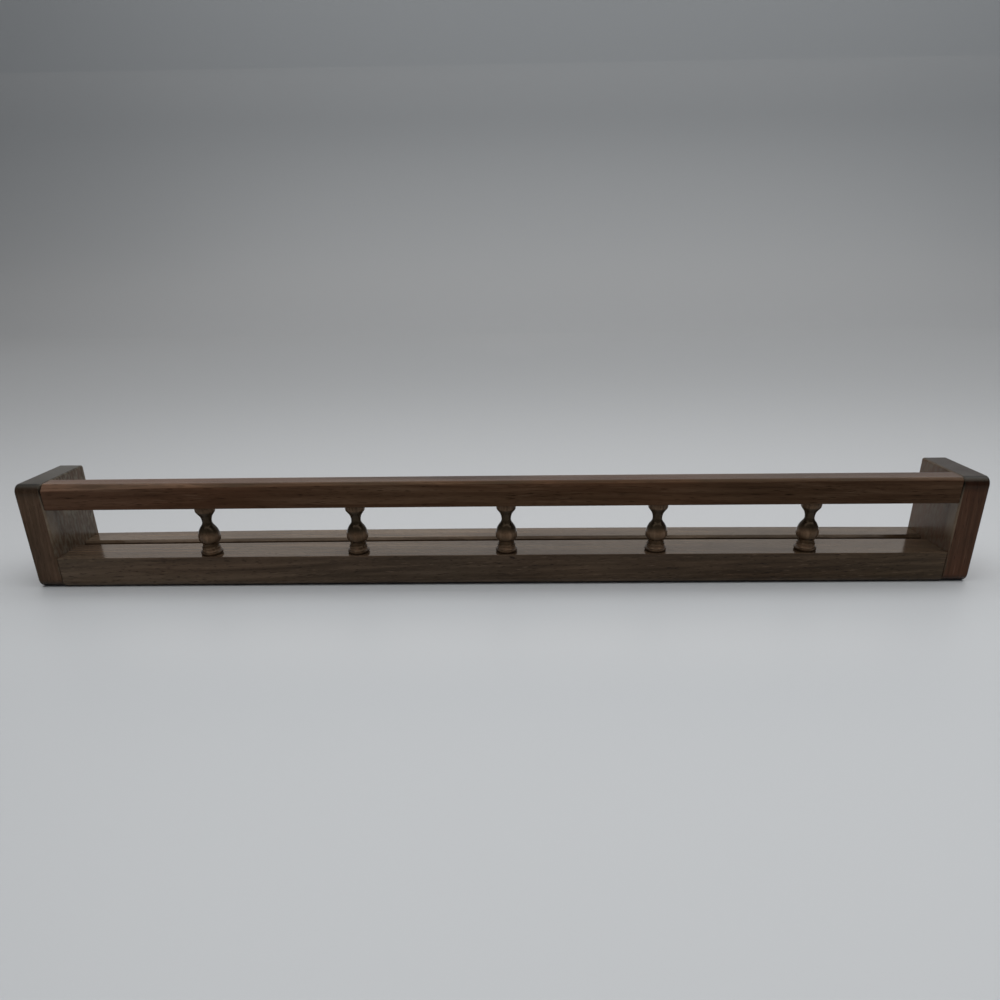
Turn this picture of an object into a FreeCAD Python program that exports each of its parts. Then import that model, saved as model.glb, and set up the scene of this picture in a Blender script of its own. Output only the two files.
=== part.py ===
import FreeCAD, Part
import math
import os
import re

import Sketcher

os.makedirs("parts", exist_ok=True)
doc = FreeCAD.newDocument("wall_spice_rack")
sheet = doc.addObject("Spreadsheet::Sheet", "dims")

# Sizes of the rack in millimetres. The boards are planed to inch sizes, mostly in sixteenths.
sizes = {
    # boards
    "overall_length": 711.2,
    "rack_depth": 63.5,
    "end_thickness": 19.05,
    "shelf_thickness": 23.8,
    "rail_height": 19.05,
    "rail_depth": 19.05,
    # worked edges
    "edge_round": 3.2,
    "edge_ease": 0.5,
    "rail_chamfer": 2.65,
    "groove_chamfer": 1.7,
    "end_corner": 6.35,
    "end_ease": 1.6,
    # plate groove along the shelf, measured from the front face
    "groove_setback": 31.75,
    "groove_width": 7.9,
    "groove_depth": 6.35,
    # spindle places, measured from the inner face of the left end
    "first_spindle": 116.3,
    "spindle_pitch": 113.4,
    "spindle_count": 5,
    # turned outline of a spindle: heights are from the shelf, drops are from the rail
    "spindle_length": 38.1,
    "foot_radius": 8.25,
    "foot_height": 2.4,
    "foot_bulge": 0.5,
    "bead_radius": 6.9,
    "bead_height": 3.6,
    "bead_bulge": 0.55,
    "waist_height": 3.7,
    "waist_hollow": 0.85,
    "vase_radius": 8.2,
    "heel_inset": 0.9,
    "heel_height": 2.7,
    "neck_radius": 3.6,
    "neck_drop": 12.5,
    "neck_curve": 5.0,
    "flare_radius": 4.85,
    "flare_drop": 7.8,
    "collar_radius": 7.55,
    "collar_height": 4.7,
    "collar_bulge": 0.35,
    "tenon_radius": 3.175,
    "tenon_length": 9.5,
    "tenon_chamfer": 0.8,
    # dowels that hold the rail and the shelf to the ends
    "dowel_radius": 4.76,
    "dowel_length": 31.75,
    "dowel_in_end": 11.1,
    "dowel_chamfer": 1.0,
    # fit of every round peg in its hole
    "peg_clearance": 0.05,
    "glue_space": 1.0,
    # keyhole slot in the back edge of each end
    "keyhole_radius": 4.76,
    "keyhole_neck": 2.4,
    "keyhole_lip": 4.0,
    "keyhole_depth": 9.5,
    "keyhole_rise": 12.7,
    "keyhole_drop": 25.4,
}
for row, (name, value) in enumerate(sizes.items(), start=1):
    sheet.set(f"A{row}", name)
    sheet.set(f"B{row}", str(value))
    sheet.setAlias(f"B{row}", name)
doc.recompute()

# Lengths that follow from the sizes.
inner_length = "(overall_length - 2 * end_thickness)"
end_height = "(shelf_thickness + spindle_length + rail_height)"
rail_lower = "(shelf_thickness + spindle_length)"
groove_far = "(groove_setback + groove_width)"
groove_floor = "(shelf_thickness - groove_depth)"
front = "-rack_depth / 2"
tenon_hole = "tenon_radius + peg_clearance"
tenon_hole_depth = "tenon_length + glue_space"
dowel_hole = "dowel_radius + peg_clearance"

# Dowel centres seen from the side: depth behind the front face, height above the bottom.
rail_dowel_spots = [("rail_depth / 2", f"{rail_lower} + rail_height / 2")]
shelf_dowel_spots = [
    ("groove_setback / 2", "shelf_thickness / 2"),
    (f"({groove_far} + rack_depth) / 2", "shelf_thickness / 2"),
]


def cells(text):
    return re.sub(r"[a-z][a-z_]*", r"dims.\g<0>", text)


def number(text):
    return float(sheet.evalExpression(cells(text)))


def bind(item, prop, text):
    item.setExpression(prop, cells(text))


def new_body(label, x, y, z):
    body = doc.addObject("PartDesign::Body", label)
    body.Label = label
    for axis, text in zip("xyz", (x, y, z)):
        bind(body, f"Placement.Base.{axis}", text)
    return body


def new_sketch(body, role, offset="0"):
    plane = [item for item in body.Origin.OriginFeatures if item.Role == role][0]
    sketch = body.newObject("Sketcher::SketchObject", "outline")
    sketch.AttachmentSupport = [(plane, "")]
    sketch.MapMode = "FlatFace"
    bind(sketch, "AttachmentOffset.Base.z", offset)
    return sketch


def pin_point(sketch, geo, pos, x, y):
    for kind, text, axis in (("DistanceX", x, -2), ("DistanceY", y, -1)):
        if text == "0":
            sketch.addConstraint(Sketcher.Constraint("PointOnObject", geo, pos, axis))
            continue
        index = sketch.addConstraint(Sketcher.Constraint(kind, -1, 1, geo, pos, number(text)))
        bind(sketch, f"Constraints[{index}]", text)


def pin_radius(sketch, geo, text):
    index = sketch.addConstraint(Sketcher.Constraint("Radius", geo, number(text)))
    bind(sketch, f"Constraints[{index}]", text)


def arc_between(a, b, radius, turn):
    half = (b - a) * 0.5
    rise = math.sqrt(max(radius ** 2 - half.Length ** 2, 0.0))
    centre = a + half + FreeCAD.Vector(-half.y, half.x, 0).normalize() * (rise * turn)
    first, last = (a, b) if turn > 0 else (b, a)
    angles = [math.atan2(v.y - centre.y, v.x - centre.x) for v in (first, last)]
    return Part.ArcOfCircle(Part.Circle(centre, FreeCAD.Vector(0, 0, 1), radius), *angles)


# Closed outline. A point is (x, y) at the end of a straight run, or (x, y, radius, turn) at the
# end of an arc that bends left (1) or right (-1).
def draw_outline(sketch, points):
    spots = [FreeCAD.Vector(number(point[0]), number(point[1]), 0) for point in points]
    runs = []
    for i, point in enumerate(points):
        a, b = spots[i - 1], spots[i]
        if len(point) == 2:
            runs.append((sketch.addGeometry(Part.LineSegment(a, b)), 1, 2))
        else:
            turn = point[3]
            geo = sketch.addGeometry(arc_between(a, b, number(point[2]), turn))
            runs.append((geo, 1, 2) if turn > 0 else (geo, 2, 1))
    for i, (geo, start, _) in enumerate(runs):
        before, _, finish = runs[i - 1]
        sketch.addConstraint(Sketcher.Constraint("Coincident", before, finish, geo, start))
    for (geo, _, finish), point in zip(runs, points):
        pin_point(sketch, geo, finish, point[0], point[1])
        if len(point) > 2:
            pin_radius(sketch, geo, point[2])


def draw_circles(sketch, centres, radius):
    for x, y in centres:
        spot = FreeCAD.Vector(number(x), number(y), 0)
        geo = sketch.addGeometry(Part.Circle(spot, FreeCAD.Vector(0, 0, 1), number(radius)))
        pin_point(sketch, geo, 3, x, y)
        pin_radius(sketch, geo, radius)


def upright_slot(middle, low, high, half):
    return [
        (f"{middle} + {half}", low, half, 1),
        (f"{middle} + {half}", high),
        (middle, f"{high} + {half}", half, 1),
        (f"{middle} - {half}", high, half, 1),
        (f"{middle} - {half}", low),
        (middle, f"{low} - {half}", half, 1),
    ]


def pad(body, sketch, length):
    feature = body.newObject("PartDesign::Pad", "run")
    feature.Profile = sketch
    bind(feature, "Length", length)
    doc.recompute()
    return feature


def turn(body, sketch, axis):
    feature = body.newObject("PartDesign::Revolution", "turning")
    feature.Profile = sketch
    feature.ReferenceAxis = (sketch, [axis])
    feature.Angle = 360
    doc.recompute()


def pocket(body, sketch, depth, along_normal):
    before = body.Shape.Volume
    feature = body.newObject("PartDesign::Pocket", "cut")
    feature.Profile = sketch
    feature.Reversed = along_normal
    bind(feature, "Length", depth)
    doc.recompute()
    if body.Shape.Volume > before - 1:
        raise RuntimeError(f"a cut in {body.Label} takes nothing away")
    return feature


# Blind dowel holes in both end faces of a run that starts at the left end.
def drill_ends(body, spots):
    for offset, along_normal in (("0", True), (inner_length, False)):
        sketch = new_sketch(body, "YZ_Plane", offset)
        draw_circles(sketch, spots, dowel_hole)
        pocket(body, sketch, "dowel_length - dowel_in_end + glue_space", along_normal)


def drill_spindle_row(body, height, along_normal):
    sketch = new_sketch(body, "XY_Plane", height)
    draw_circles(sketch, [("first_spindle", "rail_depth / 2")], tenon_hole)
    hole = pocket(body, sketch, tenon_hole_depth, along_normal)
    row = body.newObject("PartDesign::LinearPattern", "spindle_row")
    row.Originals = [hole]
    row.Direction = (sketch, ["H_Axis"])
    bind(row, "Length", "spindle_pitch * (spindle_count - 1)")
    bind(row, "Occurrences", "spindle_count")
    body.Tip = row
    doc.recompute()


# Upright end: well rounded at the front corners, square to the wall, all face edges eased.
def end_board(label, outer_left, inner_face):
    body = new_body(label, outer_left, front, "0")
    side = new_sketch(body, "YZ_Plane")
    draw_outline(side, [
        ("end_corner", "0", "end_corner", 1),
        ("rack_depth", "0"),
        ("rack_depth", end_height),
        ("end_corner", end_height),
        ("0", f"{end_height} - end_corner", "end_corner", 1),
        ("0", "end_corner"),
    ])
    board = pad(body, side, "end_thickness")

    depth = number("rack_depth")
    edges = []
    for i, edge in enumerate(board.Shape.Edges, start=1):
        on_a_face = edge.BoundBox.XLength < 1e-6
        at_the_back = edge.BoundBox.YMin > depth - 1e-6
        if on_a_face or at_the_back:
            edges.append(f"Edge{i}")
    eased = body.newObject("PartDesign::Fillet", "eased_edges")
    eased.Base = (board, edges)
    bind(eased, "Radius", "end_ease")
    doc.recompute()

    inside = new_sketch(body, "YZ_Plane", inner_face)
    draw_circles(inside, rail_dowel_spots + shelf_dowel_spots, dowel_hole)
    pocket(body, inside, "dowel_in_end + glue_space", inner_face == "0")

    # keyhole: a plunged entry, a narrow neck above it and a wider channel behind the neck
    middle = "end_thickness / 2"
    entry = f"{end_height} - keyhole_drop"
    seat = f"{entry} + keyhole_rise"
    plunge = new_sketch(body, "XZ_Plane", "-rack_depth")
    draw_circles(plunge, [(middle, entry)], "keyhole_radius")
    pocket(body, plunge, "keyhole_depth", True)
    neck = new_sketch(body, "XZ_Plane", "-rack_depth")
    draw_outline(neck, upright_slot(middle, entry, seat, "keyhole_neck"))
    pocket(body, neck, "keyhole_depth", True)
    channel = new_sketch(body, "XZ_Plane", "keyhole_lip - rack_depth")
    draw_outline(channel, upright_slot(middle, entry, seat, "keyhole_radius"))
    pocket(body, channel, "keyhole_depth - keyhole_lip", True)
    return body


def top_rail():
    body = new_body("top_rail", f"-{inner_length} / 2", front, rail_lower)
    section = new_sketch(body, "YZ_Plane")
    draw_outline(section, [
        ("edge_ease", "0", "edge_ease", 1),
        ("rail_depth - edge_ease", "0"),
        ("rail_depth", "edge_ease", "edge_ease", 1),
        ("rail_depth", "rail_height - rail_chamfer"),
        ("rail_depth - rail_chamfer", "rail_height"),
        ("rail_chamfer", "rail_height"),
        ("0", "rail_height - rail_chamfer"),
        ("0", "edge_ease"),
    ])
    pad(body, section, inner_length)
    drill_spindle_row(body, "0", True)
    drill_ends(body, [(depth, f"{height} - {rail_lower}") for depth, height in rail_dowel_spots])
    return body


def shelf():
    body = new_body("shelf", f"-{inner_length} / 2", front, "0")
    section = new_sketch(body, "YZ_Plane")
    draw_outline(section, [
        ("edge_round", "0", "edge_round", 1),
        ("rack_depth - edge_ease", "0"),
        ("rack_depth", "edge_ease", "edge_ease", 1),
        ("rack_depth", "shelf_thickness - edge_round"),
        ("rack_depth - edge_round", "shelf_thickness", "edge_round", 1),
        (f"{groove_far} + groove_chamfer", "shelf_thickness"),
        (groove_far, "shelf_thickness - groove_chamfer"),
        (groove_far, groove_floor),
        ("groove_setback", groove_floor),
        ("groove_setback", "shelf_thickness - edge_ease"),
        ("groove_setback - edge_ease", "shelf_thickness", "edge_ease", 1),
        ("edge_ease", "shelf_thickness"),
        ("0", "shelf_thickness - edge_ease", "edge_ease", 1),
        ("0", "edge_round"),
    ])
    pad(body, section, inner_length)
    drill_spindle_row(body, "shelf_thickness", False)
    drill_ends(body, shelf_dowel_spots)
    return body


# Radius of a bow that rises by a given height over a chord whose square is given.
def bow_radius(chord_squared, height):
    return f"(({chord_squared}) / 4 + {height} ^ 2) / (2 * {height})"


# Radius of an arc that leaves the vertical at one end, from its run along and across.
def quarter_radius(along, across):
    return f"(({along}) ^ 2 + ({across}) ^ 2) / (2 * ({across}))"


# Turned spindle: foot, bead, waist, vase, neck and collar, with a round tenon at each end.
def spindle(label, place):
    x = f"-{inner_length} / 2 + first_spindle + {place} * spindle_pitch"
    body = new_body(label, x, f"{front} + rail_depth / 2", "shelf_thickness")
    foot_edge = "foot_radius - foot_bulge"
    bead_edge = "bead_radius - bead_bulge"
    heel_edge = "vase_radius - heel_inset"
    collar_edge = "collar_radius - collar_bulge"
    bead_top = "foot_height + bead_height"
    heel = f"{bead_top} + waist_height"
    belly = f"{heel} + heel_height"
    neck = "spindle_length - neck_drop"
    waist_chord = f"waist_height ^ 2 + ({heel_edge} - {bead_edge}) ^ 2"
    # the vase runs in one sweep into the hollow of the neck: the two arcs share a tangent
    across = "(vase_radius - neck_radius)"
    along = f"({neck} - ({belly}))"
    both_radii = f"({quarter_radius(along, across)})"
    vase_curve = f"({both_radii} - neck_curve)"
    tenon_shank = "tenon_length - tenon_chamfer"
    tenon_tip = "tenon_radius - tenon_chamfer"
    profile = new_sketch(body, "XZ_Plane")
    draw_outline(profile, [
        ("0", "-tenon_length"),
        (tenon_tip, "-tenon_length"),
        ("tenon_radius", f"-({tenon_shank})"),
        ("tenon_radius", "0"),
        (foot_edge, "0"),
        (foot_edge, "foot_height", bow_radius("foot_height ^ 2", "foot_bulge"), 1),
        (bead_edge, "foot_height"),
        (bead_edge, bead_top, bow_radius("bead_height ^ 2", "bead_bulge"), 1),
        (heel_edge, heel, bow_radius(waist_chord, "waist_hollow"), -1),
        ("vase_radius", belly, quarter_radius("heel_height", "heel_inset"), 1),
        (f"vase_radius - {vase_curve} * {across} / {both_radii}",
         f"{belly} + {vase_curve} * {along} / {both_radii}", vase_curve, 1),
        ("neck_radius", neck, "neck_curve", -1),
        ("flare_radius", "spindle_length - flare_drop",
         quarter_radius("neck_drop - flare_drop", "flare_radius - neck_radius"), -1),
        (collar_edge, "spindle_length - collar_height"),
        (collar_edge, "spindle_length", bow_radius("collar_height ^ 2", "collar_bulge"), 1),
        ("tenon_radius", "spindle_length"),
        ("tenon_radius", f"spindle_length + {tenon_shank}"),
        (tenon_tip, "spindle_length + tenon_length"),
        ("0", "spindle_length + tenon_length"),
    ])
    turn(body, profile, "V_Axis")
    return body


def dowel(label, x, depth, height):
    body = new_body(label, x, f"{front} + {depth}", height)
    profile = new_sketch(body, "XZ_Plane")
    draw_outline(profile, [
        ("0", "0"),
        ("dowel_length", "0"),
        ("dowel_length", "dowel_radius - dowel_chamfer"),
        ("dowel_length - dowel_chamfer", "dowel_radius"),
        ("dowel_chamfer", "dowel_radius"),
        ("0", "dowel_radius - dowel_chamfer"),
    ])
    turn(body, profile, "H_Axis")
    return body


# One node for the like dowels of a joint, each dowel its own solid.
def dowel_group(label, spots):
    left = f"-{inner_length} / 2 - dowel_in_end"
    right = f"{inner_length} / 2 + dowel_in_end - dowel_length"
    pegs = [dowel(f"{label}_{side}_{i}", x, depth, height)
            for side, x in (("left", left), ("right", right))
            for i, (depth, height) in enumerate(spots, start=1)]
    group = doc.addObject("Part::Compound", label)
    group.Label = label
    group.Links = pegs
    doc.recompute()
    return group


nodes = [
    end_board("left_end_board", "-overall_length / 2", "end_thickness"),
    end_board("right_end_board", "overall_length / 2 - end_thickness", "0"),
    top_rail(),
    shelf(),
    *[spindle(f"spindle_{i + 1}", i) for i in range(int(sizes["spindle_count"]))],
    dowel_group("rail_dowels", rail_dowel_spots),
    dowel_group("shelf_dowels", shelf_dowel_spots),
]
doc.recompute()

for item in doc.Objects:
    if {"Invalid", "Error"} & set(item.State):
        raise RuntimeError(f"{item.Label} did not rebuild: {item.State}")
for node in nodes:
    if node.Shape.isNull() or not node.Shape.isValid():
        raise RuntimeError(f"{node.Label} has no valid solid")
    node.Shape.exportStep(f"parts/{node.Label}.step")
    box = node.Shape.BoundBox
    print(f"{node.Label}: {len(node.Shape.Solids)} solid, {node.Shape.Volume / 1000:.1f} cm3, "
          f"x {box.XMin:.2f} {box.XMax:.2f}, y {box.YMin:.2f} {box.YMax:.2f}, z {box.ZMin:.2f} {box.ZMax:.2f}")
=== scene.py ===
import math
import bmesh
import bpy
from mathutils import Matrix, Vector


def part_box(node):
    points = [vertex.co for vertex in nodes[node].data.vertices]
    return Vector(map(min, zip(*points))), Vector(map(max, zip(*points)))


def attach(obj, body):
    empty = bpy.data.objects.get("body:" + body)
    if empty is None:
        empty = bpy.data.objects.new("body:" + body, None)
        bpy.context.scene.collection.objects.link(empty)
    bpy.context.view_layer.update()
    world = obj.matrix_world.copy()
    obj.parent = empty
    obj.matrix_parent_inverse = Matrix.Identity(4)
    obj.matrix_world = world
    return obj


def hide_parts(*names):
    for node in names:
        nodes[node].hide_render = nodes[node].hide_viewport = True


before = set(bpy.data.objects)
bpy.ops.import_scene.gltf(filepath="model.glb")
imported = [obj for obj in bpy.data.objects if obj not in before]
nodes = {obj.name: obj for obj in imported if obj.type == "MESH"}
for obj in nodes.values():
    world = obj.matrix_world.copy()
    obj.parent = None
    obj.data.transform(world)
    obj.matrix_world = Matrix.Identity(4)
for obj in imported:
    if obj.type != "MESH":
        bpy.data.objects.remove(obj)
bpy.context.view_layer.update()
millimetre = 0.001
print("frame loaded:", len(nodes), "nodes")


def inMetres(piece, *keys):
    return [piece[key] * millimetre for key in keys]


def linear(hexColour):
    parts = [int(hexColour[i:i + 2], 16) / 255 for i in (1, 3, 5)]
    return (*(p / 12.92 if p <= 0.04045 else ((p + 0.055) / 1.055) ** 2.4 for p in parts), 1.0)


# adds a node with its settings, and sets or links its sockets
# a node given as a value links its first live output
def addNode(tree, kind, settings=None, inputs=None, stops=None):
    node = tree.nodes.new(kind)
    for key, value in (settings or {}).items():
        setattr(node, key, value)
    for key, value in (inputs or {}).items():
        socket = next(s for s in node.inputs if s.enabled and key in (s.name, s.identifier))
        if isinstance(value, bpy.types.Node):
            value = next(s for s in value.outputs if s.enabled)
        if isinstance(value, bpy.types.NodeSocket):
            tree.links.new(value, socket)
        else:
            socket.default_value = value
    if stops:
        elements = node.color_ramp.elements
        while len(elements) < len(stops):
            elements.new(1.0)
        for element, (position, colour) in zip(elements, stops):
            element.position = position
            element.color = colour
    return node


# what the sockets of a Map Range hold when it takes one pair of values to another
def fromTo(given, wanted=(0, 1), unit=1):
    return {"From Min": given[0] * unit, "From Max": given[1] * unit,
            "To Min": wanted[0], "To Max": wanted[1]}


# a share that is full only where all its masks are
def together(tree, masks):
    share = masks[0]
    for mask in masks[1:]:
        share = addNode(tree, "ShaderNodeMath", {"operation": "MULTIPLY"}, {
            "Value": share, "Value_001": mask})
    return share


# noise stretched along the fibres, which lie along x; its patches are that long and that wide in mm
def grainNoise(tree, grain, size, detail=2.0, roughness=0.5):
    along, across = (1 / (length * millimetre) for length in size)
    spread = addNode(tree, "ShaderNodeMapping", inputs={"Vector": grain, "Scale": (along, across, across)})
    return addNode(tree, "ShaderNodeTexNoise", inputs={
        "Vector": spread, "Scale": 1.0, "Detail": detail, "Roughness": roughness})


# what the boards and the spindles share; a piece's own dictionary changes what differs
# a Size is in mm, along the fibres and across; a Patch is the noise where a mark starts and where it is full
walnut = dict(
    turn=(0, 0, 0),                      # degrees that lay the fibres along x
    wander=14, wanderSize=(260, 45),     # mm that the growth lines stray
    pith=(30, -40), ringGap=5.0,         # mm, the middle of the rings and their width
    ringDrift=(0.37, 2.2),               # changes of width in a ring, and how many rings they shift it
    ringStops=((0, 0.6), (0.45, 0.58), (0.82, 0.2), (1, 0.6)),   # place across a ring, how light it is there
    ringShare=0.5, ringPatch=(0.36, 0.62), streakSize=(110, 3.2),
    dark="#38261a", middle="#543d2e", light="#705646", toneStops=(0.26, 0.5, 0.74),
    zoneSize=(150, 26), zonePatch=(0.42, 0.66),
    redTint="#ffc4a0", redShare=0.7, shadeTint="#b0a8a4", shadeShare=0.6,
    fibreTone="#8c7460", fibreShare=0.35, fibreSize=(120, 0.8), fibrePatch=(0.62, 0.8),
    poreTint="#8a7a70", poreSize=(11, 0.45), porePatch=(0.6, 0.74),
    poreDepth=0.015, poreStrength=0.6,   # mm, and how much of it shows
    endTint="#3c3836", endRough=0.0,
    endFacing=(0.3, 0.9),                # how far a face looks along the fibres
    wornTone="#6e5c4c", wornShare=0.3, wornRough=0.25, rubSize=(22, 9), rubPatch=(0.42, 0.68),
    edgeFacing=(0.985, 0.86),            # how far a face looks along any one axis
    filmTint="#ecdfd0", filmIndex=1.36, filmRough=(0.09, 0.15), smearSize=(70, 30), smearPatch=(0.3, 0.7),
    waveSize=(60, 14), waveHeight=0.02)


# growth rings round a pith outside the board, uneven in width, that wander and fade into soft streaks
def growthFigure(tree, wood, grain):
    drift = grainNoise(tree, grain, wood["wanderSize"]).outputs["Color"]
    bent = addNode(tree, "ShaderNodeVectorMath", {"operation": "MULTIPLY_ADD"}, {
        "Vector": drift, "Vector_001": [wood["wander"] * millimetre] * 3, "Vector_002": grain})
    pith = [-p * millimetre for p in wood["pith"]]
    ring = addNode(tree, "ShaderNodeVectorMath", {"operation": "MULTIPLY_ADD"}, {
        "Vector": bent, "Vector_001": (0, 1, 1), "Vector_002": (0, *pith)})
    ring = addNode(tree, "ShaderNodeVectorMath", {"operation": "LENGTH"}, {"Vector": ring})
    ring = addNode(tree, "ShaderNodeMath", {"operation": "DIVIDE"}, {
        "Value": ring.outputs["Value"], "Value_001": wood["ringGap"] * millimetre})
    changes, shift = wood["ringDrift"]
    uneven = addNode(tree, "ShaderNodeTexNoise", {"noise_dimensions": "1D"}, {
        "W": ring, "Scale": changes, "Detail": 1.0})
    ring = addNode(tree, "ShaderNodeMath", {"operation": "MULTIPLY_ADD"}, {
        "Value": uneven.outputs["Fac"], "Value_001": shift, "Value_002": ring})
    ring = addNode(tree, "ShaderNodeMath", {"operation": "FRACT"}, {"Value": ring})
    ring = addNode(tree, "ShaderNodeValToRGB", inputs={"Fac": ring}, stops=[
        (spot, (grey, grey, grey, 1)) for spot, grey in wood["ringStops"]])
    fade = addNode(tree, "ShaderNodeSeparateColor", inputs={"Color": drift})
    fade = addNode(tree, "ShaderNodeMapRange", inputs={
        "Value": fade.outputs["Blue"], **fromTo(wood["ringPatch"], (0, wood["ringShare"]))})
    streak = grainNoise(tree, bent, wood["streakSize"], detail=4.0, roughness=0.6)
    figure = addNode(tree, "ShaderNodeMix", {"data_type": "FLOAT"}, {
        "Factor": fade, "A": streak.outputs["Fac"], "B": ring})
    return bent, figure


# marks that belong to one place on an end board: layers of colour, some of them painted shade and reflection,
# and the masks that keep its wear in place
def endBoardMarks(tree, wood, board, grain, normal, edge):
    look = addNode(tree, "ShaderNodeSeparateXYZ", inputs={"Vector": normal})
    side = wood["innerSide"]
    inner, outer, front, top = (
        addNode(tree, "ShaderNodeMapRange", inputs={
            "Value": look.outputs[axis], **fromTo(wood[limits], unit=way)})
        for axis, limits, way in (("X", "innerFacing", side), ("X", "outerFacing", -side),
                                  ("Y", "frontFacing", -1), ("Z", "topFacing", 1)))
    # inside, jars have scuffed the film into short pale dashes
    scuff = addNode(tree, "ShaderNodeMapRange", inputs={
        "Value": grainNoise(tree, grain, wood["scuffSize"]).outputs["Fac"],
        **fromTo(wood["scuffPatch"], wood["scuffShare"])})
    # hands reach the inner edge just below the rail and have rubbed a strip beside it
    height, full, gone = wood["grip"]
    grip = addNode(tree, "ShaderNodeMath", {"operation": "SUBTRACT"}, {
        "Value": board.outputs["Z"], "Value_001": height * millimetre})
    grip = addNode(tree, "ShaderNodeMath", {"operation": "ABSOLUTE"}, {"Value": grip})
    grip = addNode(tree, "ShaderNodeMapRange", inputs={
        "Value": grip, **fromTo((gone, full), unit=millimetre)})
    strip = addNode(tree, "ShaderNodeMapRange", inputs={
        "Value": board.outputs["Y"], **fromTo(wood["strip"], (0, wood["stripShare"]), millimetre)})
    # the front is darker in a band below the top and on the outer rounded edge; painted shade fills the line
    # where the rail meets the board
    frontTopBand = addNode(tree, "ShaderNodeMapRange", inputs={
        "Value": board.outputs["Z"], **fromTo(wood["frontTopBand"], (0, wood["frontTopBandShare"]), millimetre)})
    below = addNode(tree, "ShaderNodeMapRange", inputs={
        "Value": board.outputs["Z"], **fromTo(wood["belowRail"], unit=millimetre)})
    railJointShade = addNode(tree, "ShaderNodeMath", {"operation": "SUBTRACT", "use_clamp": True}, {
        "Value": inner, "Value_001": below})
    # pale grey on the top, thinner towards the front: dust, and a painted reflection of the backdrop
    dustAndReflection = addNode(tree, "ShaderNodeMapRange", inputs={
        "Value": board.outputs["Y"], **fromTo(wood["dustAndReflectionDepth"], wood["dustAndReflectionShare"], millimetre)})
    # the layer masked at the rail joint is painted shade
    layers = [
        ([scuff, inner], wood["scuffTone"], "MIX"), ([frontTopBand, front], wood["darkeningAndShadeTint"], "MULTIPLY"),
        ([edge, outer], wood["darkeningAndShadeTint"], "MULTIPLY"), ([edge, railJointShade, front], wood["darkeningAndShadeTint"], "MULTIPLY"),
        ([strip, inner, grip], wood["stripTone"], "MIX"), ([top, dustAndReflection], wood["dustAndReflectionTone"], "MIX")]
    return layers, [inner, front, grip]


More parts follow.
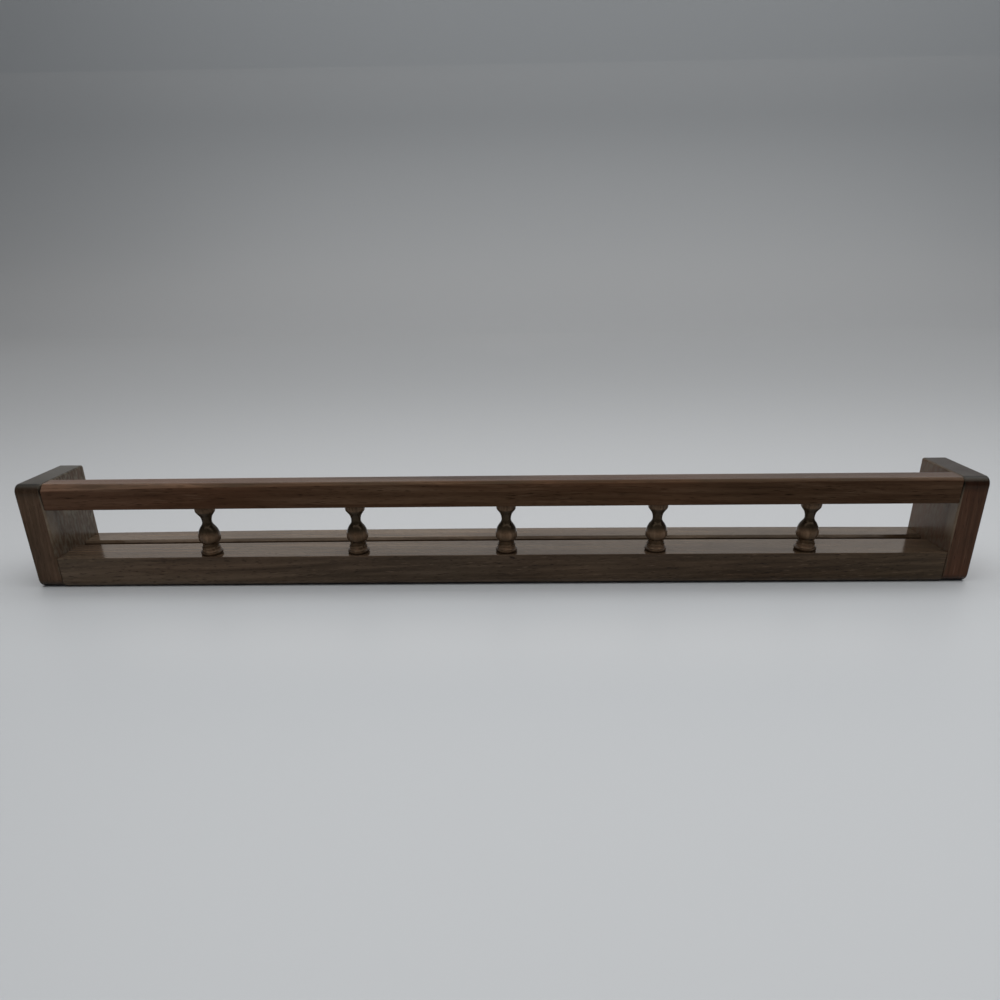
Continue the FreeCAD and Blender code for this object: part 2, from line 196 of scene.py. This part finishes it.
# dark walnut under an amber gloss lacquer: soft brown streaks, uneven growth lines that slant through the
# board and open into long arches, redder patches, a few pale fibres, dark end grain, rubbed edges
def lacqueredWalnut(name, wood, placeAttribute=None):
    material = bpy.data.materials.new(name)
    material.use_nodes = True
    tree = material.node_tree
    tree.nodes.clear()
    if placeAttribute:
        place = addNode(tree, "ShaderNodeAttribute", {"attribute_name": placeAttribute}).outputs["Vector"]
    else:
        place = addNode(tree, "ShaderNodeTexCoord").outputs["Object"]
    board = addNode(tree, "ShaderNodeSeparateXYZ", inputs={"Vector": place})
    turn = [math.radians(a) for a in wood["turn"]]
    grain = addNode(tree, "ShaderNodeMapping", inputs={"Vector": place, "Rotation": turn})
    normal = addNode(tree, "ShaderNodeNewGeometry").outputs["Normal"]
    bent, figure = growthFigure(tree, wood, grain)
    layers = []   # masks, colour and blend of what lies over the figure, lowest first

    # redder and darker patches of heartwood
    zone = grainNoise(tree, grain, wood["zoneSize"], detail=1.5).outputs["Color"]
    zone = addNode(tree, "ShaderNodeSeparateColor", inputs={"Color": zone})
    for channel, tint, share in (("Red", "redTint", "redShare"), ("Green", "shadeTint", "shadeShare")):
        patch = addNode(tree, "ShaderNodeMapRange", inputs={
            "Value": zone.outputs[channel], **fromTo(wood["zonePatch"], (0, wood[share]))})
        layers.append(([patch], wood[tint], "MULTIPLY"))
    if "heartwood" in wood:   # one end of the board is darker
        *limits, tint = wood["heartwood"]
        heartwood = addNode(tree, "ShaderNodeMapRange", inputs={
            "Value": board.outputs["X"], **fromTo(limits, unit=millimetre)})
        layers.append(([heartwood], tint, "MULTIPLY"))

    # pale fibres, then the pores; real ones are about 0.2 mm wide, and these two to four times that to show
    fibre = addNode(tree, "ShaderNodeMapRange", inputs={
        "Value": grainNoise(tree, bent, wood["fibreSize"]).outputs["Fac"],
        **fromTo(wood["fibrePatch"], (0, wood["fibreShare"]))})
    layers.append(([fibre], wood["fibreTone"], "MIX"))
    pore = addNode(tree, "ShaderNodeMapRange", inputs={
        "Value": grainNoise(tree, bent, wood["poreSize"], detail=1.0).outputs["Fac"],
        **fromTo(wood["porePatch"])})
    layers.append(([pore], wood["poreTint"], "MULTIPLY"))

    # end grain drinks the stain and goes dark
    fibreEnd = addNode(tree, "ShaderNodeMapping", {"vector_type": "VECTOR"}, {
        "Vector": normal, "Rotation": turn})
    fibreEnd = addNode(tree, "ShaderNodeSeparateXYZ", inputs={"Vector": fibreEnd})
    fibreEnd = addNode(tree, "ShaderNodeMath", {"operation": "ABSOLUTE"}, {"Value": fibreEnd.outputs["X"]})
    fibreEnd = addNode(tree, "ShaderNodeMapRange", inputs={"Value": fibreEnd, **fromTo(wood["endFacing"])})
    layers.append(([fibreEnd], wood["endTint"], "MULTIPLY"))
    for start, full, still, gone, tint in wood.get("shadeBands", ()):   # painted shade on a turning, in bands at heights on it
        band = [addNode(tree, "ShaderNodeMapRange", inputs={
            "Value": board.outputs["Z"], **fromTo(limits, unit=millimetre)})
            for limits in ((start, full), (gone, still))]
        layers.append((band, tint, "MULTIPLY"))

    # flat faces look along an axis, rounded edges don't: that finds the edges hands have rubbed
    facing = addNode(tree, "ShaderNodeVectorMath", {"operation": "ABSOLUTE"}, {"Vector": normal})
    facing = addNode(tree, "ShaderNodeSeparateXYZ", inputs={"Vector": facing})
    widest = facing.outputs["X"]
    for axis in ("Y", "Z"):
        widest = addNode(tree, "ShaderNodeMath", {"operation": "MAXIMUM"}, {
            "Value": widest, "Value_001": facing.outputs[axis]})
    edge = addNode(tree, "ShaderNodeMapRange", inputs={"Value": widest, **fromTo(wood["edgeFacing"])})
    rub = addNode(tree, "ShaderNodeMapRange", inputs={
        "Value": grainNoise(tree, grain, wood["rubSize"], detail=3.0).outputs["Fac"],
        **fromTo(wood["rubPatch"], (0, wood["wornShare"]))})
    wearMasks = [edge, rub]
    if "innerSide" in wood:
        marks, gripMasks = endBoardMarks(tree, wood, board, grain, normal, edge)
        layers += marks
        wearMasks += gripMasks
    wear = together(tree, wearMasks)
    layers.append(([wear], wood["wornTone"], "MIX"))

    tone = addNode(tree, "ShaderNodeValToRGB", inputs={"Fac": figure}, stops=[
        (stop, linear(wood[key])) for stop, key in zip(wood["toneStops"], ("dark", "middle", "light"))])
    for masks, colour, blend in layers:
        tone = addNode(tree, "ShaderNodeMix", {"data_type": "RGBA", "blend_type": blend}, {
            "Factor": together(tree, masks), "A": tone, "B": linear(colour)})

    # smears of old polish change the gloss; worn edges and end grain are duller
    rough = addNode(tree, "ShaderNodeMapRange", inputs={
        "Value": grainNoise(tree, grain, wood["smearSize"], detail=3.0).outputs["Fac"],
        **fromTo(wood["smearPatch"], wood["filmRough"])})
    for mask, added in ((wear, wood["wornRough"]), (fibreEnd, wood["endRough"])):
        rough = addNode(tree, "ShaderNodeMath", {"operation": "MULTIPLY_ADD"}, {
            "Value": mask, "Value_001": added, "Value_002": rough})

    # brush waves in the film, then the pores that the film hasn't filled
    bump = addNode(tree, "ShaderNodeBump", inputs={
        "Height": grainNoise(tree, grain, wood["waveSize"], detail=1.0).outputs["Fac"],
        "Strength": 1.0, "Distance": wood["waveHeight"] * millimetre})
    bump = addNode(tree, "ShaderNodeBump", {"invert": True}, {
        "Height": pore, "Strength": wood["poreStrength"], "Distance": wood["poreDepth"] * millimetre,
        "Normal": bump})
    shader = addNode(tree, "ShaderNodeBsdfPrincipled", inputs={
        "Base Color": tone, "Roughness": rough, "Normal": bump,
        "IOR": wood["filmIndex"], "Specular Tint": linear(wood["filmTint"])})
    addNode(tree, "ShaderNodeOutputMaterial", inputs={"Surface": shader})
    return material


hold = 0.25 * millimetre   # loops this far from a rounding keep the flats flat under smooth shading
arcSteps = 6               # faces in a rounded corner
sharpAngle = 32            # degrees, edges that turn more stay crisp


# outline of a board's section in (depth, height); each corner is rounded, and its arc starts that far from it
def roundedSection(corners):
    points = []
    for i, (y, z, setback) in enumerate(corners):
        here = Vector((y, z))
        if setback == 0:
            points.append(here)
            continue
        back = (Vector(corners[i - 1][:2]) - here).normalized()
        ahead = (Vector(corners[(i + 1) % len(corners)][:2]) - here).normalized()
        centre = here + (back + ahead).normalized() * setback / math.cos(back.angle(ahead) / 2)
        first, last = here + back * setback - centre, here + ahead * setback - centre
        sweep = first.angle(last)
        points.append(here + back * (setback + hold))
        for k in range(arcSteps + 1):
            share = k / arcSteps
            spoke = first * math.sin((1 - share) * sweep) + last * math.sin(share * sweep)
            points.append(centre + spoke / math.sin(sweep))
        points.append(here + ahead * (setback + hold))
    return points


# the same outline drawn in by that much, for a board's bevelled ends
def drawnIn(section, depth):
    points = []
    for i, here in enumerate(section):
        back = (here - section[i - 1]).normalized()
        ahead = (section[(i + 1) % len(section)] - here).normalized()
        inward = Vector((-back.y - ahead.y, back.x + ahead.x)).normalized()
        points.append(here + inward * depth / inward.dot(Vector((-ahead.y, ahead.x))))
    return points


# how far a crowned board between those corners has risen at a place on it
def crownAt(x, y, low, high, crown):
    share = (y - low.y) / (high.y - low.y)
    return (crown[0] + (crown[1] - crown[0]) * share) * millimetre * (1 - (x / high.x) ** 2)


def finishMesh(name, mesh):
    data = bpy.data.meshes.new(name)
    mesh.to_mesh(data)
    mesh.free()
    data.shade_smooth()
    data.set_sharp_from_angle(angle=math.radians(sharpAngle))
    piece = bpy.data.objects.new(name, data)
    bpy.context.scene.collection.objects.link(piece)
    return piece


# a board along x; its section may change on the way, and bevelled ends leave a thin dark line at the joints
def runBoard(name, sectionAt, low, high, board):
    bevelLeft, bevelRight = (bevel * millimetre for bevel in board["endBevel"])
    first, last = low.x + bevelLeft, high.x - bevelRight
    places = [first + (last - first) * i / board["stations"] for i in range(board["stations"] + 1)]
    runs = [(x, sectionAt(x)) for x in places]
    runs.insert(0, (low.x, drawnIn(sectionAt(low.x), bevelLeft)))
    runs.append((high.x, drawnIn(sectionAt(high.x), bevelRight)))
    mesh = bmesh.new()
    rows = []
    for x, section in runs:
        risen = [(x, y, z + crownAt(x, y, low, high, board["crown"])) for y, z in section]
        rows.append([mesh.verts.new(point) for point in risen])
    for row, nextRow in zip(rows, rows[1:]):
        for k in range(len(row)):
            mesh.faces.new((row[k - 1], row[k], nextRow[k], nextRow[k - 1]))
    mesh.faces.new(rows[0])
    mesh.faces.new(reversed(rows[-1]))
    bmesh.ops.recalc_face_normals(mesh, faces=mesh.faces)
    return finishMesh(name, mesh)


# shelf: one thick board with a plate groove, crowned a little along its length, more so towards the wall
shelf = dict(
    edgeRound=3.2, edgeEase=0.5,                              # mm
    toeRound=4.8,                                             # mm, the lower front edge is sanded rounder
    grooveSetback=31.75, grooveWidth=7.9, grooveDepth=6.35,   # mm, from the front face
    grooveChamfer=2.0, chamferEase=0.3,                       # mm, on the wall side
    endBevel=(0.4, 0.65),                                     # mm, left and right
    crown=(0.6, 1.5), stations=96,                            # mm of rise at the front and at the back
    wood=dict(walnut, turn=(0, 1.1, 1.9), pith=(14, -34), ringGap=5.4, wander=16, redShare=0.2,
              heartwood=(-60, 300, "#c7c2b6"),                # mm along the board where it starts and is full
              fibreShare=0.45, fibreSize=(9, 0.9), poreSize=(6, 0.7), filmRough=(0.12, 0.18),
              dark="#3d3024", middle="#58493a", light="#746352"))
shelfLow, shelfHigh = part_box("shelf")
rounded, eased, toe = inMetres(shelf, "edgeRound", "edgeEase", "toeRound")
setback, width, depth = inMetres(shelf, "grooveSetback", "grooveWidth", "grooveDepth")
cut, cutEase = inMetres(shelf, "grooveChamfer", "chamferEase")
grooveNear = shelfLow.y + setback
grooveFar = grooveNear + width
grooveFloor = shelfHigh.z - depth
shelfSection = roundedSection([
    (shelfLow.y, shelfLow.z, toe), (shelfHigh.y, shelfLow.z, eased), (shelfHigh.y, shelfHigh.z, rounded),
    (grooveFar + cut, shelfHigh.z, cutEase), (grooveFar, shelfHigh.z - cut, cutEase),
    (grooveFar, grooveFloor, 0), (grooveNear, grooveFloor, 0),
    (grooveNear, shelfHigh.z, eased), (shelfLow.y, shelfHigh.z, eased)])
shelfPiece = runBoard("grooved_shelf", lambda x: shelfSection, shelfLow, shelfHigh, shelf)
shelfPiece.data.materials.append(lacqueredWalnut("lacqueredWalnutShelf", shelf["wood"]))
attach(shelfPiece, "root")
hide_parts("shelf")
print("shelf done")

# top rail: square stick, its upper edges chamfered by hand, so the front one widens towards the left end
rail = dict(
    chamfer=2.1, widening=2.6, fallOff=85,               # mm
    edgeEase=0.5, upperEase=1.0, lowerEase=0.5,          # mm, the last two on the chamfers' edges
    endBevel=(0.9, 0.8),                                 # mm, left and right
    crown=(0.35, 0.35), stations=96,                     # mm of rise at the front and at the back
    wood=dict(walnut, turn=(0, -0.8, 1.4), pith=(-26, 60), ringGap=6.5, wander=10, redShare=0.3,
              wornTone="#3a2c22", wornShare=0.85, rubSize=(40, 9),   # chamfer darkened in patches by hands
              heartwood=(-300, -90, "#d6d8d2"), filmTint="#9c8a66",
              dark="#4b3226", middle="#654a3a", light="#7b604f"))
railLow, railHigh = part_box("top_rail")


def railSectionAt(x):
    eased, upper, lower = inMetres(rail, "edgeEase", "upperEase", "lowerEase")
    cut, widening, fallOff = inMetres(rail, "chamfer", "widening", "fallOff")
    front = cut + widening * math.exp((railLow.x - x) / fallOff)
    return roundedSection([
        (railLow.y, railLow.z, eased), (railHigh.y, railLow.z, eased),
        (railHigh.y, railHigh.z - cut, lower), (railHigh.y - cut, railHigh.z, upper),
        (railLow.y + front, railHigh.z, upper), (railLow.y, railHigh.z - front, lower)])


railPiece = runBoard("square_top_rail", railSectionAt, railLow, railHigh, rail)
railPiece.data.materials.append(lacqueredWalnut("lacqueredWalnutRail", rail["wood"]))
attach(railPiece, "root")
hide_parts("top_rail")
print("top rail done")

# end boards: the solids with new materials; grain stands upright, the right one is cut from a redder plank
endWalnut = dict(
    walnut, wander=9, zoneSize=(90, 26), dark="#40301f", middle="#543f30", light="#6a5444",
    endFacing=(0.05, 0.9), endTint="#4e4c4a", endRough=0.08, wornTone="#7c6e60", rubSize=(5, 1.6),
    innerFacing=(0.2, 0.5), outerFacing=(0.15, 0.4),              # how far a face looks that way
    frontFacing=(0.1, 0.4), topFacing=(0.9, 0.995),
    grip=(54, 10, 22),                                            # mm, its height, full and gone this far off
    strip=(-19.5, -22.5), stripShare=0.6, stripTone="#857462",    # mm from the middle of the depth
    # the grey tint darkens the band below the top and the outer edges, and paints shade in the line at the
    # rail
    frontTopBand=(69.5, 74), frontTopBandShare=0.5, belowRail=(62, 59), darkeningAndShadeTint="#808486",   # mm up the board
    scuffSize=(6.5, 2.6), scuffPatch=(0.44, 0.64), scuffShare=(0.05, 0.7), scuffTone="#686255",
    # pale grey on the tops: dust, and a painted reflection of the backdrop
    dustAndReflectionDepth=(-30, 30), dustAndReflectionTone="#84847e", filmRough=(0.18, 0.28), filmTint="#dcd2bc")
ends = dict(
    left_end_board=dict(endWalnut, innerSide=1, turn=(2, 87, 0), pith=(24, 46), ringGap=6.5, redShare=0.1,
                        wornShare=0.9, dustAndReflectionShare=(0.06, 0.24)),
    right_end_board=dict(endWalnut, innerSide=-1, turn=(-2, 92, 0), pith=(-34, 40), ringGap=7.0, redShare=0.9,
                         dustAndReflectionShare=(0.0, 0.02), scuffShare=(0.45, 0.85), scuffTone="#5c5042", frontTopBandShare=0.7,
                         dark="#442a1c", middle="#563727", light="#684635"))
for board, wood in ends.items():
    nodes[board].data.materials[0] = lacqueredWalnut(f"lacqueredWalnut_{board}", wood)
print("end boards done")

# dowels: plain beech pegs out of sight inside the joints, pale with short darker flecks
dowel = dict(fleckSize=(12.5, 0.8333), dark="#b48a5c", light="#d2ae80", toneStops=(0.3, 0.7), roughness=0.6)
dowelMaterial = bpy.data.materials.new("plainBeech")
dowelMaterial.use_nodes = True
dowelTree = dowelMaterial.node_tree
dowelPlace = addNode(dowelTree, "ShaderNodeTexCoord").outputs["Object"]
dowelFleck = grainNoise(dowelTree, dowelPlace, dowel["fleckSize"])
dowelTone = addNode(dowelTree, "ShaderNodeValToRGB", inputs={"Fac": dowelFleck.outputs["Fac"]}, stops=[
    (stop, linear(dowel[key])) for stop, key in zip(dowel["toneStops"], ("dark", "light"))])
dowelShader = dowelTree.nodes["Principled BSDF"]
dowelTree.links.new(dowelTone.outputs["Color"], dowelShader.inputs["Base Color"])
dowelShader.inputs["Roughness"].default_value = dowel["roughness"]
for group in ("rail_dowels", "shelf_dowels"):
    nodes[group].data.materials[0] = dowelMaterial
print("dowels done")

# spindles: turned to one pattern, five in a row between the shelf and the rail
spindle = dict(   # mm
    toeRadius=7.55, lipRadius=8.0, footHeight=2.3, footBulge=0.4,
    coveHeight=2.1, coveHollow=0.35,
    beadRadius=6.85, beadHeight=1.6, beadBulge=0.4,
    waistHeight=3.7, waistHollow=0.85, bowSteps=10,
    vaseRadius=8.2, vaseSteps=16, heelInset=1.2, heelHeight=3.4, heelSteps=8,
    neckRadius=3.6, neckDrop=12.5, neckCurve=5.0, neckSteps=12,
    flareRadius=4.85, flareDrop=7.8, flareSteps=10,
    collarRadius=7.55, collarHeight=4.7, collarBulge=0.35, collarSteps=8,
    sink=0.6, mergeWithin=0.002,   # into the shelf and the rail; doubles this close are merged
    turns=88, seed=7,              # faces round a spindle; which way round each one stands
    wood=dict(walnut, turn=(0, 90, 0), pith=(9, 5), ringGap=3.4, ringShare=0.35, streakSize=(40, 2.4),
              wander=3, wanderSize=(60, 14), zoneSize=(30, 12), redShare=0.15, wornShare=0.0,
              dark="#5a493a", middle="#6d5947", light="#826a56", endFacing=(0.45, 0.9), endTint="#807c78",
              # painted shade: the foot's side, the waist and bead, and the shoulder and neck under the rail
              shadeBands=[(-2, -1, 1.6, 2.4, "#a09a92"),   # heights where it starts, is full, still is, is gone
                      (4.8, 6.2, 10.5, 15.0, "#b0aca2"),
                      (15.5, 19.0, 32.8, 34.2, "#8c9492")],
              fibreShare=0.1, poreTint="#b0a49a", poreSize=(7, 0.4),
              filmTint="#d8bc9c", filmIndex=1.42, filmRough=(0.14, 0.2)))


# points along an arc that bends left (1) or right (-1) round a circle of that radius
def arcRun(first, last, radius, bend, steps):
    half = (last - first) / 2
    rise = math.sqrt(max(radius ** 2 - half.length_squared, 0))
    centre = first + half + Vector((-half.y, half.x)).normalized() * rise * bend
    start = math.atan2(first.y - centre.y, first.x - centre.x)
    sweep = 2 * math.asin(min(1, half.length / radius)) * bend
    angles = [start + sweep * k / steps for k in range(1, steps + 1)]
    return [centre + Vector((math.cos(angle), math.sin(angle))) * radius for angle in angles]


# the same for an arc that bulges from its chord by that much, or hollows where the bulge is negative
def bowRun(first, last, bulge, steps):
    radius = ((last - first).length_squared / 4 + bulge ** 2) / (2 * abs(bulge))
    return arcRun(first, last, radius, math.copysign(1, bulge), steps)


# radius of an arc that leaves its tangent by that much across over that much along
def tangentRadius(along, across):
    return (along ** 2 + across ** 2) / (2 * across)


# (radius, height) along the turned side, in mm from the shelf
def spindleOutline(size, length):
    beadEdge = size["beadRadius"] - size["beadBulge"]
    collarEdge = size["collarRadius"] - size["collarBulge"]
    toe = Vector((size["toeRadius"], 0))
    lip = Vector((size["lipRadius"], size["footHeight"]))
    beadLow = Vector((beadEdge, size["footHeight"] + size["coveHeight"]))
    beadTop = Vector((beadEdge, beadLow.y + size["beadHeight"]))
    heel = Vector((size["vaseRadius"] - size["heelInset"], beadTop.y + size["waistHeight"]))
    belly = Vector((size["vaseRadius"], heel.y + size["heelHeight"]))
    neck = Vector((size["neckRadius"], length - size["neckDrop"]))
    flare = Vector((size["flareRadius"], length - size["flareDrop"]))
    collarLow = Vector((collarEdge, length - size["collarHeight"]))
    collarTop = Vector((collarEdge, length))
    # the vase turns over into the neck where their two arcs share a tangent
    across, along = belly.x - neck.x, neck.y - belly.y
    bothRadii = tangentRadius(along, across)
    vaseCurve = bothRadii - size["neckCurve"]
    turnOver = belly + Vector((-across, along)) * vaseCurve / bothRadii
    heelCurve = tangentRadius(size["heelHeight"], size["heelInset"])
    flareCurve = tangentRadius(flare.y - neck.y, flare.x - neck.x)
    line = [Vector((0, -size["sink"])), Vector((size["toeRadius"], -size["sink"])), toe]
    for first, last, bulge in (
            (toe, lip, size["footBulge"]), (lip, beadLow, -size["coveHollow"]),
            (beadLow, beadTop, size["beadBulge"]), (beadTop, heel, -size["waistHollow"])):
        line += bowRun(first, last, bulge, size["bowSteps"])
    line += arcRun(heel, belly, heelCurve, 1, size["heelSteps"])
    line += arcRun(belly, turnOver, vaseCurve, 1, size["vaseSteps"])
    line += arcRun(turnOver, neck, size["neckCurve"], -1, size["neckSteps"])
    line += arcRun(neck, flare, flareCurve, -1, size["flareSteps"])
    line.append(collarLow)
    line += bowRun(collarLow, collarTop, size["collarBulge"], size["collarSteps"])
    line += [Vector((collarEdge, length + size["sink"])), Vector((0, length + size["sink"]))]
    return line


def turnBlank(outline, turns, mergeWithin):
    mesh = bmesh.new()
    points = [mesh.verts.new((p.x * millimetre, 0, p.y * millimetre)) for p in outline]
    edges = [mesh.edges.new(pair) for pair in zip(points, points[1:])]
    bmesh.ops.spin(mesh, geom=points + edges, cent=(0, 0, 0), axis=(0, 0, 1), angle=math.tau, steps=turns,
                   use_merge=True)
    bmesh.ops.remove_doubles(mesh, verts=mesh.verts, dist=mergeWithin * millimetre)
    bmesh.ops.recalc_face_normals(mesh, faces=mesh.faces)
    return finishMesh("spindle_blank", mesh)


firstLow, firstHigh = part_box("spindle_1")
lastLow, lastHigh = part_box("spindle_5")
spindleNames = [name for name in nodes if name.startswith("spindle_")]
firstAxis, lastAxis = (firstLow + firstHigh) / 2, (lastLow + lastHigh) / 2
spindlePitch = (lastAxis.x - firstAxis.x) / (len(spindleNames) - 1)
spindleCrown = crownAt(0, firstAxis.y, shelfLow, shelfHigh, shelf["crown"])
spindleLength = (railLow.z - shelfHigh.z) / millimetre
blank = turnBlank(spindleOutline(spindle, spindleLength), spindle["turns"], spindle["mergeWithin"])
spindleMaterial = lacqueredWalnut("turnedLacqueredWalnut", spindle["wood"], placeAttribute="blankPlace")

# a row of blanks, each turned its own way round and set on the crowned shelf
rowTree = bpy.data.node_groups.new("spindleRow", "GeometryNodeTree")
rowTree.is_modifier = True
for label, kind, default in (
        ("Blank", "NodeSocketObject", blank), ("Count", "NodeSocketInt", len(spindleNames)),
        ("First Place", "NodeSocketVector", (firstAxis.x, firstAxis.y, shelfHigh.z)),
        ("Pitch", "NodeSocketFloat", spindlePitch), ("Half Length", "NodeSocketFloat", shelfHigh.x),
        ("Crown", "NodeSocketFloat", spindleCrown), ("Seed", "NodeSocketInt", spindle["seed"]),
        ("Finish", "NodeSocketMaterial", spindleMaterial)):
    socket = rowTree.interface.new_socket(label, in_out="INPUT", socket_type=kind)
    socket.default_value = default
rowTree.interface.new_socket("Geometry", in_out="OUTPUT", socket_type="NodeSocketGeometry")
given = addNode(rowTree, "NodeGroupInput").outputs
step = addNode(rowTree, "ShaderNodeCombineXYZ", inputs={"X": given["Pitch"]})
spots = addNode(rowTree, "GeometryNodeMeshLine", inputs={
    "Count": given["Count"], "Start Location": given["First Place"], "Offset": step})
here = addNode(rowTree, "GeometryNodeInputPosition")
across = addNode(rowTree, "ShaderNodeSeparateXYZ", inputs={"Vector": here})
share = addNode(rowTree, "ShaderNodeMath", {"operation": "DIVIDE"}, {
    "Value": across.outputs["X"], "Value_001": given["Half Length"]})
share = addNode(rowTree, "ShaderNodeMath", {"operation": "MULTIPLY"}, {"Value": share, "Value_001": share})
share = addNode(rowTree, "ShaderNodeMath", {"operation": "SUBTRACT"}, {"Value": 1.0, "Value_001": share})
rise = addNode(rowTree, "ShaderNodeMath", {"operation": "MULTIPLY"}, {
    "Value": share, "Value_001": given["Crown"]})
rise = addNode(rowTree, "ShaderNodeCombineXYZ", inputs={"Z": rise})
spots = addNode(rowTree, "GeometryNodeSetPosition", inputs={"Geometry": spots, "Offset": rise})
shape = addNode(rowTree, "GeometryNodeObjectInfo", inputs={"Object": given["Blank"]}).outputs["Geometry"]
pick = addNode(rowTree, "FunctionNodeRandomValue", {"data_type": "FLOAT"}, {
    "Min": 0.0, "Max": math.tau, "Seed": given["Seed"]})
turned = addNode(rowTree, "ShaderNodeCombineXYZ", inputs={"Z": pick})
row = addNode(rowTree, "GeometryNodeStoreNamedAttribute", {"data_type": "FLOAT_VECTOR", "domain": "POINT"}, {
    "Geometry": shape, "Name": "blankPlace", "Value": here})
row = addNode(rowTree, "GeometryNodeInstanceOnPoints", inputs={
    "Points": spots, "Instance": row, "Rotation": turned})
row = addNode(rowTree, "GeometryNodeRealizeInstances", inputs={"Geometry": row})
row = addNode(rowTree, "GeometryNodeSetMaterial", inputs={"Geometry": row, "Material": given["Finish"]})
addNode(rowTree, "NodeGroupOutput", inputs={"Geometry": row})

rowObject = bpy.data.objects.new("spindle_row", bpy.data.meshes.new("spindle_row"))
bpy.context.scene.collection.objects.link(rowObject)
rowObject.modifiers.new("spindleRow", "NODES").node_group = rowTree
rowEvaluated = rowObject.evaluated_get(bpy.context.evaluated_depsgraph_get())
rowMesh = bpy.data.meshes.new_from_object(rowEvaluated)
bpy.data.objects.remove(rowObject)
bpy.data.objects.remove(blank)
spindlePiece = bpy.data.objects.new("turned_spindles", rowMesh)
bpy.context.scene.collection.objects.link(spindlePiece)
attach(spindlePiece, "root")
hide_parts(*spindleNames)
print("spindles done:", len(rowMesh.polygons), "faces")

# plain pale floor that sweeps up into a plain wall
sweep = dict(halfWidth=3.8, front=-1.2, bend=2.3, radius=0.8, height=3.0, steps=24,   # metres
             colour="#c4c6c8", roughness=0.45)
line = [(sweep["front"], 0.0), (sweep["bend"], 0.0)]
for k in range(1, sweep["steps"] + 1):
    angle = math.pi / 2 * k / sweep["steps"]
    line.append((sweep["bend"] + sweep["radius"] * math.sin(angle), sweep["radius"] * (1 - math.cos(angle))))
line.append((line[-1][0], sweep["height"]))
floorMesh = bmesh.new()
left, right = (
    [floorMesh.verts.new((x, y, z)) for y, z in line] for x in (-sweep["halfWidth"], sweep["halfWidth"]))
for k in range(len(line) - 1):
    floorMesh.faces.new((left[k], right[k], right[k + 1], left[k + 1]))
floor = finishMesh("pale_floor", floorMesh)
floorMaterial = bpy.data.materials.new("paleMattFloor")
floorMaterial.use_nodes = True
floorShader = floorMaterial.node_tree.nodes["Principled BSDF"]
floorShader.inputs["Base Color"].default_value = linear(sweep["colour"])
floorShader.inputs["Roughness"].default_value = sweep["roughness"]
floor.data.materials.append(floorMaterial)
print("floor done")

# soft light from above and behind, little from the front; metres and watts
lamps = dict(
    overhead=dict(place=(0.15, -0.12, 0.8), aim=(0.15, -0.12, 0.0), size=(1.9, 0.9),
                  power=6.9, colour="#ffffff"),
    ceiling=dict(place=(0.5, 1.3, 2.4), aim=(0.5, 1.3, 0.0), size=(5.0, 4.0),
                 power=44.0, colour="#fcfeff"),
    backPanel=dict(place=(0.0, 3.0, 1.245), aim=(0.0, 0.0, 0.1), size=(6.4, 0.6),
                   power=7.2, colour="#fff2e6"),
    backGlow=dict(place=(0.0, 3.0, 1.245), aim=(0.0, 0.0, 0.1), size=(3.0, 0.6),
                  power=2.3, colour="#fff2e6"))
for name, lamp in lamps.items():
    light = bpy.data.lights.new(name, "AREA")
    light.shape = "RECTANGLE"
    light.size, light.size_y = lamp["size"]
    light.energy = lamp["power"]
    light.color = linear(lamp["colour"])[:3]
    holder = bpy.data.objects.new(name, light)
    holder.location = lamp["place"]
    holder.rotation_euler = (Vector(lamp["aim"]) - Vector(lamp["place"])).to_track_quat("-Z", "Y").to_euler()
    holder.visible_camera = False
    bpy.context.scene.collection.objects.link(holder)
room = dict(colour="#c8ccd0", strength=0.2)
world = bpy.data.worlds.new("softRoom")
world.use_nodes = True
background = world.node_tree.nodes["Background"]
background.inputs["Color"].default_value = linear(room["colour"])
background.inputs["Strength"].default_value = room["strength"]
bpy.context.scene.world = world
bpy.context.scene.view_settings.view_transform = "Standard"
print("lights done")

# camera at the photograph's angle; mm, degrees, and shares of the picture's width
shot = dict(place=(14.707, -562.454, 223.529), turn=(66.532, 0.7154, 0.7787),
            lens=27.013, sensor=36, shift=(-0.0044, 0.0930), clipStart=10)
camera = bpy.data.objects.new("camera", bpy.data.cameras.new("camera"))
camera.location = [v * millimetre for v in shot["place"]]
camera.rotation_euler = [math.radians(a) for a in shot["turn"]]
camera.data.sensor_width = shot["sensor"]
camera.data.lens = shot["lens"]
camera.data.shift_x, camera.data.shift_y = shot["shift"]
camera.data.clip_start = shot["clipStart"] * millimetre
bpy.context.scene.collection.objects.link(camera)
bpy.context.scene.camera = camera
print("camera done")
